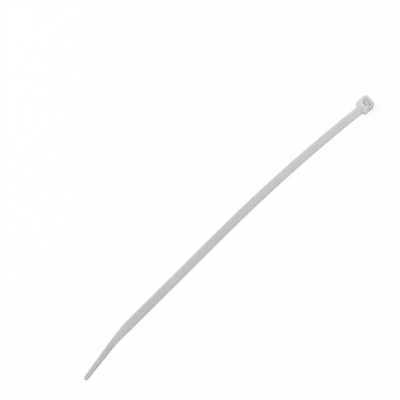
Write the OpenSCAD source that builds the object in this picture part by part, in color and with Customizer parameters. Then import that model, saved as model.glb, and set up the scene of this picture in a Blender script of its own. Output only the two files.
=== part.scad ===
// Cable tie with a one-piece locking head, natural nylon, 200 mm class.
// The tie lies flat with its teeth down and its smooth back up.
// Origin: middle of the head's slot, on the face where the tail goes in.
// +X runs from the head along the strap, +Z is the way the tail is pulled through.

/* [Strap] */
// Overall length, from the head's far end to the tip
tie_len = 200; // [160:1:300]
// Width of the strap
strap_w = 4.3; // [4:0.1:7]
// Thickness of the strap over its rails
strap_t = 1.25; // [1.1:0.05:1.8]
// Rounding of the two edges on the smooth back
back_r = 0.4; // [0.2:0.05:0.5]
// Rounding of the two edges of the rails
rail_r = 0.15; // [0.05:0.05:0.3]
// Radius of the slight sideways bow of the strap near its head
bow_r = 920; // [500:20:6000]
// Length of strap, from the head on, that is bowed, before it runs straight
bow_len = 98; // [40:1:100]
// Plain neck between the head and the first tooth
neck_len = 7; // [4:1:30]

/* [Teeth] */
// Distance from one tooth to the next
pitch = 1.1; // [0.9:0.05:1.6]
// Height of a tooth
tooth_h = 0.45; // [0.3:0.05:0.55]
// Width of the channel that holds the teeth, between the rails
channel_w = 2.9; // [2.4:0.1:3.2]
// Ledge between the channel's walls and its teeth
ledge = 0.1; // [0.05:0.05:0.2]
// Depth of the tooth crests below the rails
crest_drop = 0.08; // [0.04:0.02:0.16]
// Flat land on a tooth crest
crest_land = 0.14; // [0.08:0.02:0.24]
// Run of the steep locking flank, which faces the head
flank_run = 0.1; // [0.04:0.02:0.2]

/* [Tail] */
// Length over which the strap narrows to the tail
taper_len = 14; // [6:1:16]
// Length of the narrow tail
tail_len = 19; // [12:1:28]
// Width of the narrow tail where the taper ends
tail_w = 3; // [2.4:0.1:3.6]
// Width of the narrow tail before its round tip
tip_w = 2.1; // [2:0.1:3]
// Thickness of the narrow tail
tail_t = 1; // [0.8:0.05:1.2]
// Angle by which the tail is set sideways from the strap's end
tail_set = 8; // [0:1:12]
// Distance from one grip groove to the next, under the tail
grip_pitch = 1.6; // [1.2:0.1:2.4]
// Depth of a grip groove
grip_d = 0.16; // [0.1:0.02:0.24]

/* [Head] */
// Width of the head
head_w = 7.3; // [6.8:0.1:9.6]
// Height of the head, from the entry face to the exit face
head_h = 4.7; // [4.2:0.1:6.2]
// Wall at the far end, which the strap's back slides on
end_wall = 1.4; // [1:0.1:2.4]
// Solid part between the pawl's pocket and the head's ramp
root_len = 1; // [0.8:0.1:2.4]
// Length of the ramp from the head's top down to the strap
ramp_len = 1.5; // [1:0.1:3]
// Length of the sloped shoulders, in plan
shoulder_len = 0.6; // [0.4:0.1:1.8]
// Corner radius of the far end, in plan
corner_r = 1.5; // [1:0.1:2.4]
// Radius of the bulge of the far end, in plan
bulge_r = 9; // [6:1:30]
// Rounding of the long top edges
top_r = 0.8; // [0.3:0.05:1]
// Rounding of the far end's top edge
end_r = 1; // [0.3:0.05:1.2]

/* [Lock] */
// Room in the slot over the strap's thickness
slot_play = 0.4; // [0.3:0.05:0.5]
// Room in the slot over the strap's width
slot_side = 0.4; // [0.2:0.05:0.6]
// Lead-in chamfer round the slot on the entry face
lead_in = 0.4; // [0.2:0.05:0.6]
// Chamfer round the window on the exit face
exit_bevel = 0.2; // [0.1:0.05:0.3]
// Depth of the pocket behind the slot, in which the pawl moves
pocket_t = 1.6; // [1.5:0.05:2.2]
// Height of the pocket's floor over the entry face
floor_h = 1; // [0.9:0.1:1.4]
// Gap at each side of the pawl in its pocket
pawl_gap = 0.3; // [0.2:0.05:0.4]
// Thickness of the pawl's hinge web
hinge_t = 0.5; // [0.4:0.05:0.7]
// Height of the hinge web over the pocket's floor
hinge_h = 0.5; // [0.3:0.05:0.7]
// Distance of the hinge web behind the slot's wall
hinge_set = 0.1; // [0.05:0.05:0.2]
// Thickness of the pawl behind its teeth
pawl_t = 0.8; // [0.7:0.05:1]
// Depth of the pawl's tip below the exit face
tip_drop = 0.6; // [0.5:0.1:1]
// Reach of the pawl's tip into the strap's teeth
tip_bite = 0.3; // [0.1:0.05:0.4]
// Number of teeth on the pawl
pawl_teeth = 3; // [2:1:3]

/* [Hidden] */
nylon = [0.86, 0.87, 0.86];
over = 1;                                   // how far a cutter runs past what it cuts
tuck = 0.1;                                 // how far the head's ramp and shoulders end inside the strap
seam = 0.01;                                // how far the bow's and the tail's sides lie inside the strap's
lap = 0.3;                                  // length of the bow and of the tail that lies in the strap
blend = 0.15;                               // how far the bulge ends before its corners' arcs touch it
taper_n = 10;                               // stations along the taper
tip_n = 6;                                  // stations round the tip
tip_end = 78;                               // angle at which the round tip ends in a small flat
tip_flat = 0.7;                             // how far the tip thins, as a share of the tail's thickness

slot_t = strap_t + slot_play;
slot_w = strap_w + slot_side;
far_x = -slot_t / 2 - end_wall;             // far end of the head
pocket_x = slot_t / 2 + pocket_t;           // pocket's wall on the strap side
top_x = pocket_x + root_len;                // where the ramp starts
neck_x = top_x + ramp_len;                  // where the head ends and the neck starts

bow_x = (top_x + neck_x) / 2;               // the bow starts inside the head's root
bow_steps = round(2 * PI * bow_r / 6);      // facets of a full turn, one to 6 mm
strap_len = tie_len - (bow_x - far_x) - taper_len - tail_len;
teeth_from = neck_x - bow_x + neck_len;
teeth_n = floor((strap_len - pitch - teeth_from) / pitch);
teeth_len = teeth_n * pitch;
groove_h = crest_drop + tooth_h;            // height of a groove's bottom over the rails

pawl_w = channel_w - 2 * pawl_gap;
foot_x = slot_t / 2 + hinge_set;            // slot side of the hinge web
hinge_z = floor_h + hinge_h;
tip_z = head_h - tip_drop;
tip_x = -slot_t / 2 + strap_t - tip_bite;   // the strap's back lies on the end wall

// Angle of the bow after a length s of strap
function turn(s) = s / bow_r * 180 / PI;

// Puts its children on the strap's middle line, a length s along it
module on_strap(s) {
    bent = min(s, bow_len);
    translate([bow_x, bow_r, 0]) rotate([0, 0, turn(bent)]) translate([s - bent, -bow_r, 0]) children();
}

// Sweeps a section, drawn with its middle at x = 0 and z as y, along the bow and a little past its end
module bowed(from) {
    translate([bow_x, bow_r, 0])
        rotate([0, 0, turn(from) - 90])
            rotate_extrude(angle = turn(bow_len + lap - from), $fn = bow_steps)
                translate([bow_r, 0]) children();
}

// Sweeps such a section straight on from the end of the bow
module straight(to) {
    on_strap(bow_len) rotate([90, 0, 90]) linear_extrude(to - bow_len) children();
}

// Sweeps a side profile, drawn in x and z, across the tie
module across(w) {
    rotate([90, 0, 0]) linear_extrude(w, center = true) children();
}

// Flat bar with one rounding on its upper edges and another on its lower ones
module bar_section(w, t, upper_r, lower_r) {
    translate([-w / 2 + upper_r, lower_r]) square([w - 2 * upper_r, t - lower_r]);
    translate([-w / 2 + lower_r, 0]) square([w - 2 * lower_r, t - upper_r]);
    translate([-w / 2, lower_r]) square([w, t - upper_r - lower_r]);
    for (side = [-1, 1]) {
        translate([side * (w / 2 - upper_r), t - upper_r]) circle(upper_r, $fn = 32);
        translate([side * (w / 2 - lower_r), lower_r]) circle(lower_r, $fn = 32);
    }
}

// Room between two teeth: a slow ramp down from a crest, then the steep flank that faces the head
module tooth_gap() {
    across(channel_w - 2 * ledge)
        polygon([[crest_land, crest_drop - over], [crest_land, crest_drop], [pitch - flank_run, groove_h],
                 [pitch, crest_drop], [pitch, crest_drop - over]]);
}

module channel_section(w) {
    translate([-w / 2, -over]) square([w, over + crest_drop]);
}

// Shallow channel between the rails, with a tooth gap at each pitch, square to the strap
module toothed_channel() {
    bowed(teeth_from) channel_section(channel_w - 2 * seam);
    straight(teeth_from + teeth_len) channel_section(channel_w);
    for (i = [0 : teeth_n - 1])
        on_strap(teeth_from + i * pitch) tooth_gap();
}

module strap() {
    difference() {
        union() {
            bowed(0) bar_section(strap_w - 2 * seam, strap_t - seam, back_r, rail_r);
            straight(strap_len) bar_section(strap_w, strap_t, back_r, rail_r);
        }
        toothed_channel();
    }
}

// Outline of the same bar as points, for sections that change along the tail
function bar_points(w, t, upper_r, lower_r) =
    [for (corner = [[w / 2 - lower_r, lower_r, lower_r, -90], [w / 2 - upper_r, t - upper_r, upper_r, 0],
                    [upper_r - w / 2, t - upper_r, upper_r, 90], [lower_r - w / 2, lower_r, lower_r, 180]],
          a = [0 : 22.5 : 90])
        [corner[0] + corner[2] * cos(corner[3] + a), corner[1] + corner[2] * sin(corner[3] + a)]];

// Direction and place of the tail's middle line, a length s from the strap's end
function tail_turn(s) = tail_set * max(0, min(s, taper_len)) / taper_len;
function tail_mid(s) = let (bent = min(s, taper_len), a = tail_turn(s))
    [bent * cos(a / 2) + (s - bent) * cos(a), bent * sin(a / 2) + (s - bent) * sin(a)];

// Smooth change from 0 to 1 over the taper
function ease(s) = (1 - cos(180 * max(0, min(s / taper_len, 1)))) / 2;

// Stations along the tail as [length, width, thickness]: the taper, then the round tip
function taper_station(s) =
    [s, strap_w - 2 * seam - (strap_w - tail_w) * ease(s), strap_t - seam - (strap_t - tail_t) * ease(s)];
function tip_station(a) =
    [taper_len + tail_len - tip_w / 2 * (1 - sin(a) / sin(tip_end)), tip_w * cos(a),
     tail_t * (tip_flat + (1 - tip_flat) * cos(a))];
tail_stations = concat([taper_station(-lap)],
                       [for (i = [0 : taper_n]) taper_station(i * taper_len / taper_n)],
                       [for (i = [0 : tip_n]) tip_station(i * tip_end / tip_n)]);

// Section of the tail at one station, as points in space
function tail_ring(station) =
    let (s = station[0], w = station[1], mid = tail_mid(s), a = tail_turn(s))
    [for (p = bar_points(w, station[2], min(back_r, 0.45 * w), min(rail_r, 0.3 * w)))
        [mid[0] - p[0] * sin(a), mid[1] + p[0] * cos(a), p[1]]];

// Narrows smoothly from the strap's end, then runs parallel to a round tip, with grip grooves below
module tail() {
    n = len(bar_points(tail_w, tail_t, back_r, rail_r));
    last = (len(tail_stations) - 1) * n;
    sides = [for (i = [0 : n : last - n], j = [0 : n - 1])
                let (next = (j + 1) % n)
                each [[i + j, i + n + j, i + n + next], [i + j, i + n + next, i + next]]];
    ends = [[for (j = [0 : n - 1]) j], [for (j = [n - 1 : -1 : 0]) last + j]];
    difference() {
        polyhedron([for (station = tail_stations, p = tail_ring(station)) p], concat(sides, ends));
        for (s = [taper_len + grip_pitch : grip_pitch : taper_len + tail_len - tail_w])
            translate([tail_mid(s)[0], tail_mid(s)[1], 0]) rotate([0, 0, tail_set]) across(tail_w + over)
                polygon([[-2 * grip_d, -grip_d], [0, grip_d], [2 * grip_d, -grip_d]]);
    }
}

// Head seen from above: parallel sides, a bulging far end with round corners, and sloped shoulders
module head_plan() {
    side_x = neck_x - shoulder_len;
    bulge_x = far_x + bulge_r;
    corner_y = head_w / 2 - corner_r;
    fan = asin(corner_y / (bulge_r - corner_r));    // direction in which a corner's arc touches the bulge
    corner_x = bulge_x - (bulge_r - corner_r) * cos(fan);
    bulge_y = corner_y + corner_r * sin(fan) - blend;
    polygon([[corner_x, head_w / 2], [side_x, head_w / 2], [neck_x, strap_w / 2 - tuck],
             [neck_x, tuck - strap_w / 2], [side_x, -head_w / 2], [corner_x, -head_w / 2]]);
    for (side = [-1, 1])
        translate([corner_x, side * corner_y]) circle(corner_r, $fn = 64);
    intersection() {
        translate([bulge_x, 0]) circle(bulge_r, $fn = 360);
        translate([far_x - over, -bulge_y]) square([corner_x - far_x + 2 * over, 2 * bulge_y]);
    }
}

// Head seen from the side: flat entry face, rounded far end, ramp down to the strap
module head_side() {
    translate([far_x + end_r, head_h - end_r]) circle(end_r, $fn = 48);
    polygon([[far_x, 0], [far_x, head_h - end_r], [far_x + end_r, head_h], [top_x, head_h],
             [neck_x, strap_t - tuck], [neck_x, 0]]);
}

module head_block() {
    intersection() {
        linear_extrude(head_h) head_plan();
        across(head_w + over) head_side();
        translate([far_x - over, 0, 0]) rotate([90, 0, 90])
            linear_extrude(neck_x - far_x + 2 * over) bar_section(head_w, head_h, top_r, rail_r);
    }
}

// Opening of length l and width w whose rim widens by rim at height z
module rim_bevel(l, w, z, rim, way) {
    intersection() {
        across(w + 2 * rim + over)
            polygon([[-l / 2, z], [l / 2, z], [l / 2 + rim + over, z + way * (rim + over)],
                     [-l / 2 - rim - over, z + way * (rim + over)]]);
        rotate([90, 0, 90]) linear_extrude(l + 2 * rim + over, center = true)
            polygon([[-w / 2, z], [w / 2, z], [w / 2 + rim + over, z + way * (rim + over)],
                     [-w / 2 - rim - over, z + way * (rim + over)]]);
    }
}

// Way of the strap through the head, and the pocket in which the pawl bends back
module slot_and_pocket() {
    pocket_w = pawl_w + 2 * pawl_gap;
    translate([-slot_t / 2, -slot_w / 2, -over]) cube([slot_t, slot_w, head_h + 2 * over]);
    translate([0, -pocket_w / 2, floor_h]) cube([pocket_x, pocket_w, head_h]);
    rim_bevel(slot_t, slot_w, lead_in, lead_in, -1);
    rim_bevel(slot_t, slot_w, head_h - exit_bevel, exit_bevel, 1);
    translate([pocket_x / 2, 0, 0]) rim_bevel(pocket_x, pocket_w, head_h - exit_bevel, exit_bevel, 1);
}

// Springy pawl: thin hinge web on the pocket's floor, thicker body, teeth towards the end wall
module pawl() {
    root = 0.4;          // depth of the web's root in the floor
    swell = 0.6;         // height over which the web thickens to the body
    tip_slope = 0.15;    // rise of the pawl's top towards its back
    lean = (foot_x - tip_x - tooth_h) / (tip_z - hinge_z);
    // the lowest tooth's ramp starts at the web
    teeth = [for (i = [pawl_teeth - 1 : -1 : 0], p = [[0, flank_run - pitch], [-tooth_h, 0]])
             let (z = tip_z - i * pitch + p[1])
             if (z > hinge_z) [tip_x + tooth_h + (tip_z - z) * lean + p[0], z]];
    across(pawl_w)
        polygon(concat([[foot_x + hinge_t, floor_h - root], [foot_x, floor_h - root], [foot_x, hinge_z]],
                       teeth,
                       [[tip_x + tooth_h / 2 + pawl_t, tip_z + tip_slope],
                        [foot_x + pawl_t, hinge_z + swell], [foot_x + hinge_t, hinge_z]]));
}

module cable_tie() {
    color(nylon) {
        difference() {
            union() {
                head_block();
                strap();
            }
            slot_and_pocket();
        }
        pawl();
        on_strap(strap_len) tail();
    }
}

cable_tie();
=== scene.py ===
import math

import bpy
from mathutils import Euler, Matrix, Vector

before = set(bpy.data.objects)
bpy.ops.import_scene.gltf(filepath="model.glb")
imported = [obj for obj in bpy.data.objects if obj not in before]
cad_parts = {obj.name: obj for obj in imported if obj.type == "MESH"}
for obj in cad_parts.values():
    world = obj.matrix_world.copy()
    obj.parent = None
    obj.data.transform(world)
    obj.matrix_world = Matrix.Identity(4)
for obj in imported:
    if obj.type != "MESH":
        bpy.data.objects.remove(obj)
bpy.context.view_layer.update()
mm = 0.001                                      # the frame is in metres

print("frame loaded")

# The camera looks down on the tie from its +X +Y side, as in the photo

view = {
    "turn": 140.04,                             # degrees about +Z
    "height": 70.0,                             # degrees over the floor
    "distance": 548.2 * mm,
    "aim": (98.06 * mm, -14.97 * mm, 0.0),
    "lens": 100.0,
    "sensor": 36.0,
    "clip": (0.01, 10.0),                       # metres
}


def addCamera(view):
    data = bpy.data.cameras.new("camera")
    data.lens = view["lens"]
    data.sensor_fit = "HORIZONTAL"
    data.sensor_width = view["sensor"]
    data.clip_start, data.clip_end = view["clip"]
    camera = bpy.data.objects.new("camera", data)
    bpy.context.scene.collection.objects.link(camera)
    turn = Euler((math.radians(90 - view["height"]), 0, math.radians(view["turn"])))
    camera.rotation_euler = turn
    back = Vector((0, 0, view["distance"]))     # the camera looks along its own -Z
    camera.location = Vector(view["aim"]) + turn.to_matrix() @ back
    bpy.context.scene.camera = camera


addCamera(view)
print("camera placed")


# The nylon and the paper are both put together from these

def newMaterial(name):
    material = bpy.data.materials.new(name)
    material.use_nodes = True
    return material, material.node_tree


def addNode(tree, kind, inputs, **settings):
    # a socket among the inputs is linked, and anything else is set as the input's value
    node = tree.nodes.new("ShaderNode" + kind)
    for name, value in settings.items():
        setattr(node, name, value)
    for name, value in inputs.items():
        if isinstance(value, bpy.types.NodeSocket):
            tree.links.new(value, node.inputs[name])
        else:
            node.inputs[name].default_value = value
    return node


def addNoise(tree, place, size):
    return addNode(tree, "TexNoise", {"Vector": place, "Scale": 1 / size}).outputs["Fac"]


def addRange(tree, value, fromRange, toRange):
    spread = addNode(tree, "MapRange", {
        "Value": value,
        "From Min": fromRange[0],
        "From Max": fromRange[1],
        "To Min": toRange[0],
        "To Max": toRange[1],
    })
    return spread.outputs["Result"]


def addMath(tree, operation, first, second=0.0):
    node = addNode(tree, "Math", {0: first, 1: second}, operation=operation)
    return node.outputs["Value"]


def addVectorMath(tree, operation, first, second):
    node = addNode(tree, "VectorMath", {0: first, 1: second}, operation=operation)
    return node.outputs["Vector"]


def addAxes(tree, vector):
    return addNode(tree, "SeparateXYZ", {"Vector": vector}).outputs


def addLargest(tree, values):
    largest = values[0]
    for value in values[1:]:
        largest = addMath(tree, "MAXIMUM", largest, value)
    return largest


def addRamp(tree, value, stops):
    # stops: place from 0 to 1, colour
    ramp = addNode(tree, "ValToRGB", {"Fac": value})
    marks = ramp.color_ramp.elements
    for number, (place, color) in enumerate(stops):
        mark = marks[0] if number == 0 else marks.new(place)
        mark.position = place
        mark.color = (*color, 1)
    marks.remove(marks[-1])                     # a new ramp brings a last mark of its own
    return ramp.outputs["Color"]


def addBox(tree, place, middle, reach, soft):
    # 1 inside a box and 0 outside, over a soft share of its reach
    offset = addVectorMath(tree, "SUBTRACT", place, middle)
    share = addVectorMath(tree, "DIVIDE", offset, reach)
    distance = addAxes(tree, addVectorMath(tree, "ABSOLUTE", share, (0, 0, 0)))
    return addRange(tree, addLargest(tree, list(distance)), (1, 1 + soft), (1, 0))


# The nylon: milky and soft inside, milkiest where the head is thick, clearer along the thin tail, with
# painted light and shade in its colour: darker towards the tail, on the rounded edges and towards +Y,
# paler inside the head

nylon = {
    "colorStart": -4.0,                         # mm along X
    "colorRun": 200.0,                          # mm
    "milkAndShadeColors": [                                 # mm from where the run starts, colour: milky where thick, with painted shade darkening the strap towards the tail
        (0, (0.655, 0.655, 0.645)),             # the head
        (11, (0.650, 0.652, 0.640)),            # the neck
        (44, (0.635, 0.639, 0.630)),
        (100, (0.570, 0.573, 0.575)),
        (160, (0.530, 0.534, 0.538)),           # the strap's last teeth
        (186, (0.475, 0.478, 0.478)),           # the tail
    ],
    "edges": [                                  # how far a normal points up or to +X, share of the colour: painted shade on the rounded edges
        (0.0, 1.0),
        (0.12, 0.93),
        (0.45, 0.8),
        (0.8, 0.88),
        (0.97, 1.0),
    ],
    "inside": (0.97, 0.97, 0.96, 1),            # painted light: the head's inside is kept pale, standing in for light through its walls
    "insidePlace": (0.8 * mm, 0, 2.4 * mm),
    "insideReach": (1.75 * mm, 2.4 * mm, 2.4 * mm),
    "insideSoft": 0.03,
    "insideRise": (0.35, 0.85),                 # past it a normal points up, and the face is as outside
    "cloudSize": 16 * mm,
    "cloudNoise": (0.35, 0.65),                 # the part of the noise that is stretched over the clouds
    "cloudShare": 0.04,                         # how much darker the clearest nylon is than the milkiest
    "bowStart": 4.2 * mm,                       # the strap's middle line, as in the part
    "bowRadius": 920 * mm,
    "bowLength": 98 * mm,
    "tailStart": 171 * mm,
    "tailSlope": 0.145,
    "leanReach": 3.0,                           # mm to each side of the middle line
    "leanShare": 0.012,                         # painted light and shade: how much lighter towards -Y, and darker towards +Y, the strap is at each of them
    "pitch": 1.1 * mm,                          # the teeth show through the back as faint bands
    "bandShare": 0.03,
    "teethStart": (11.5 * mm, 12.5 * mm),
    "teethEnd": (162 * mm, 163 * mm),
    "headEnd": (5.5 * mm, 7.5 * mm),            # the head's nylon goes over into the strap's
    "headScatter": 0.5,
    "strapScatter": 0.35,
    "radius": (1.0, 0.96, 0.88),
    "depth": 6 * mm,
    "polished": 0.34,                           # roughness
    "dull": 0.46,
    "toothDull": 0.1,                           # added among the teeth
    "toothHeight": (0.5 * mm, 0.8 * mm),
    "streakSize": 1.2 * mm,
    "streakRun": (0.04, 1, 1),                  # streaks run along the strap
    "streakNoise": (0.3, 0.7),
    "grainSize": 0.22 * mm,
    "grainDepth": 0.001 * mm,
    "index": 1.53,
}


def addStrapPlace(tree, x, y, look):
    # the place along the strap, and the way across it from its middle line
    bowEnd = look["bowStart"] + look["bowLength"]
    bend = addRange(tree, x, (look["bowStart"], bowEnd), (0, look["bowLength"]))
    slope = addMath(tree, "DIVIDE", bend, look["bowRadius"])
    bow = addMath(tree, "MULTIPLY", addMath(tree, "MULTIPLY", slope, bend), 0.5)
    straight = addMath(tree, "MAXIMUM", addMath(tree, "SUBTRACT", x, bowEnd), 0.0)
    middle = addMath(tree, "ADD", bow, addMath(tree, "MULTIPLY", straight, slope))
    tail = addMath(tree, "MAXIMUM", addMath(tree, "SUBTRACT", x, look["tailStart"]), 0.0)
    middle = addMath(tree, "ADD", middle, addMath(tree, "MULTIPLY", tail, look["tailSlope"]))
    across = addMath(tree, "SUBTRACT", y, middle)
    along = addMath(tree, "ADD", x, addMath(tree, "MULTIPLY", across, slope))
    return along, across


def addBands(tree, x, along, look):
    # 1, and a little less over each tooth
    waves = addMath(tree, "SINE", addMath(tree, "MULTIPLY", along, 2 * math.pi / look["pitch"]))
    first = addRange(tree, x, look["teethStart"], (0, look["bandShare"]))
    last = addRange(tree, x, look["teethEnd"], (1, 0))
    depth = addMath(tree, "MULTIPLY", first, last)
    darker = addMath(tree, "MULTIPLY", addRange(tree, waves, (-1, 1), (0, 1)), depth)
    return addMath(tree, "SUBTRACT", 1.0, darker)


def addMilkAndPaintedShade(tree, place, normal, x, along, across, look):
    # the nylon's colour from the head to the tail, with painted shade: darker towards the tail, on the
    # rounded edges and towards +Y
    start, run = look["colorStart"] * mm, look["colorRun"] * mm
    stops = [(distance / look["colorRun"], color) for distance, color in look["milkAndShadeColors"]]
    # painted shade: the colour darkens along the strap towards the tail, on top of the head's milkiness
    milkAndPaintedShade = addRamp(tree, addRange(tree, x, (start, start + run), (0, 1)), stops)

    # painted shade: the rounded edges between the top and the sides are darkened
    rise = addMath(tree, "MAXIMUM", addMath(tree, "ABSOLUTE", normal["Z"]), normal["X"])
    stops = [(reach, (share, share, share)) for reach, share in look["edges"]]
    milkAndPaintedShade = addVectorMath(tree, "MULTIPLY", milkAndPaintedShade, addRamp(tree, rise, stops))

    noise = addNoise(tree, place, look["cloudSize"])
    clouds = addRange(tree, noise, look["cloudNoise"], (1 - look["cloudShare"], 1))
    # painted light and shade: the strap is lighter towards -Y and darker towards +Y
    reach, most = look["leanReach"] * mm, look["leanReach"] * look["leanShare"]
    paintedSideLight = addRange(tree, across, (-reach, reach), (1 + most, 1 - most))
    share = addMath(tree, "MULTIPLY", clouds, addBands(tree, x, along, look))
    share = addMath(tree, "MULTIPLY", share, paintedSideLight)
    return addNode(tree, "VectorMath", {0: milkAndPaintedShade, "Scale": share}, operation="SCALE").outputs["Vector"]


def makeNylon(look):
    material, tree = newMaterial("naturalNylon")
    place = addNode(tree, "TexCoord", {}).outputs["Object"]
    x, y, z = addAxes(tree, place)
    normal = addAxes(tree, addNode(tree, "NewGeometry", {}).outputs["Normal"])
    along, across = addStrapPlace(tree, x, y, look)

    # painted light: the head's pocket and slot walls are mixed towards a pale colour
    box = addBox(tree, place, look["insidePlace"], look["insideReach"], look["insideSoft"])
    steep = addRange(tree, normal["Z"], look["insideRise"], (1, 0))
    inside = addMath(tree, "MULTIPLY", box, steep)
    milkAndPaintedShade = addMilkAndPaintedShade(tree, place, normal, x, along, across, look)
    color = addNode(tree, "Mix", {"Factor": inside, "A": milkAndPaintedShade, "B": look["inside"]}, data_type="RGBA")

    strap = addNode(tree, "CombineXYZ", {"X": along, "Y": across, "Z": z}).outputs["Vector"]
    flow = addNode(tree, "Mapping", {"Vector": strap, "Scale": look["streakRun"]}).outputs["Vector"]
    streaks = addNoise(tree, flow, look["streakSize"])
    satin = addRange(tree, streaks, look["streakNoise"], (look["polished"], look["dull"]))
    teeth = addRange(tree, z, look["toothHeight"], (look["toothDull"], 0))
    grain = addNoise(tree, place, look["grainSize"])
    bump = addNode(tree, "Bump", {"Height": grain, "Distance": look["grainDepth"]})
    scatter = addRange(tree, x, look["headEnd"], (look["headScatter"], look["strapScatter"]))

    shader = tree.nodes["Principled BSDF"]
    for name, value in {
        "Base Color": color.outputs["Result"],
        "Roughness": addMath(tree, "ADD", satin, teeth),
        "Normal": bump.outputs["Normal"],
        "Subsurface Weight": addMath(tree, "MAXIMUM", scatter, inside),
    }.items():
        tree.links.new(value, shader.inputs[name])
    shader.inputs["Subsurface Radius"].default_value = look["radius"]
    shader.inputs["Subsurface Scale"].default_value = look["depth"]
    shader.inputs["IOR"].default_value = look["index"]
    return material


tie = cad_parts["cable_tie"]
tie.data.materials.clear()
tie.data.materials.append(makeNylon(nylon))
print("tie dressed")

# White floor: the camera sees it nearly as white light, with a faint shadow of the tie

paper = {
    "size": 3.0,                                # metres
    "drop": 0.02 * mm,                          # clear of the tie's own lowest faces
    "color": (0.93, 0.93, 0.93, 1),
    "roughness": 0.9,
    "shine": 0.1,
    "glow": (1.0, 1.0, 1.0, 1),
    "shadowShare": 0.11,                        # share of the lit paper in what the camera sees
    "slotShare": 0.75,                          # the same down the slot, in the head's shade
    "slotReach": (0.95 * mm, 2.5 * mm, 1.0 * mm),
    "slotSoft": 0.05,
}


def makePaper(look):
    material, tree = newMaterial("whitePaper")
    sheet = tree.nodes["Principled BSDF"]
    sheet.inputs["Base Color"].default_value = look["color"]
    sheet.inputs["Roughness"].default_value = look["roughness"]
    sheet.inputs["Specular IOR Level"].default_value = look["shine"]
    lit = sheet.outputs["BSDF"]
    glow = addNode(tree, "Emission", {"Color": look["glow"]}).outputs["Emission"]
    place = addNode(tree, "TexCoord", {}).outputs["Object"]
    slot = addBox(tree, place, (0, 0, 0), look["slotReach"], look["slotSoft"])
    share = addRange(tree, slot, (0, 1), (look["shadowShare"], look["slotShare"]))
    seen = addNode(tree, "MixShader", {"Fac": share, 1: glow, 2: lit}).outputs["Shader"]
    rays = addNode(tree, "LightPath", {}).outputs
    sight = addLargest(tree, [rays["Is Camera Ray"], rays["Is Glossy Ray"], rays["Is Transmission Ray"]])
    final = addNode(tree, "MixShader", {"Fac": sight, 1: lit, 2: seen}).outputs["Shader"]
    tree.links.new(final, tree.nodes["Material Output"].inputs["Surface"])
    return material


def layPaper(look):
    bpy.ops.object.select_all(action="DESELECT")
    bpy.ops.mesh.primitive_plane_add(size=look["size"], location=(0, 0, -look["drop"]))
    sheet = bpy.context.active_object
    sheet.name = "paper"
    sheet.data.materials.append(makePaper(look))


layPaper(paper)
print("paper laid")

# Two soft lamps and an even sky

studio = {
    "lamps": [                                  # name, place in mm, size in mm, watts
        ("key", (400, -560, 800), 700, 6.0),
        ("fill", (300, 350, 500), 600, 0.6),
    ],
    "aim": (100, 0, 0),                         # mm
    "skyColor": (1, 1, 1, 1),
    "sky": 0.55,
}


def addLamp(name, place, size, watts, aim):
    data = bpy.data.lights.new(name, "AREA")
    data.size = size * mm
    data.energy = watts
    lamp = bpy.data.objects.new(name, data)
    bpy.context.scene.collection.objects.link(lamp)
    lamp.location = Vector(place) * mm
    direction = Vector(aim) * mm - lamp.location
    lamp.rotation_euler = direction.to_track_quat("-Z", "Y").to_euler()


for lampLine in studio["lamps"]:
    addLamp(*lampLine, studio["aim"])

world = bpy.data.worlds.new("studio")
world.use_nodes = True
sky = world.node_tree.nodes["Background"]
sky.inputs["Color"].default_value = studio["skyColor"]
sky.inputs["Strength"].default_value = studio["sky"]
bpy.context.scene.world = world
bpy.context.scene.view_settings.view_transform = "Standard"
print("studio lit")
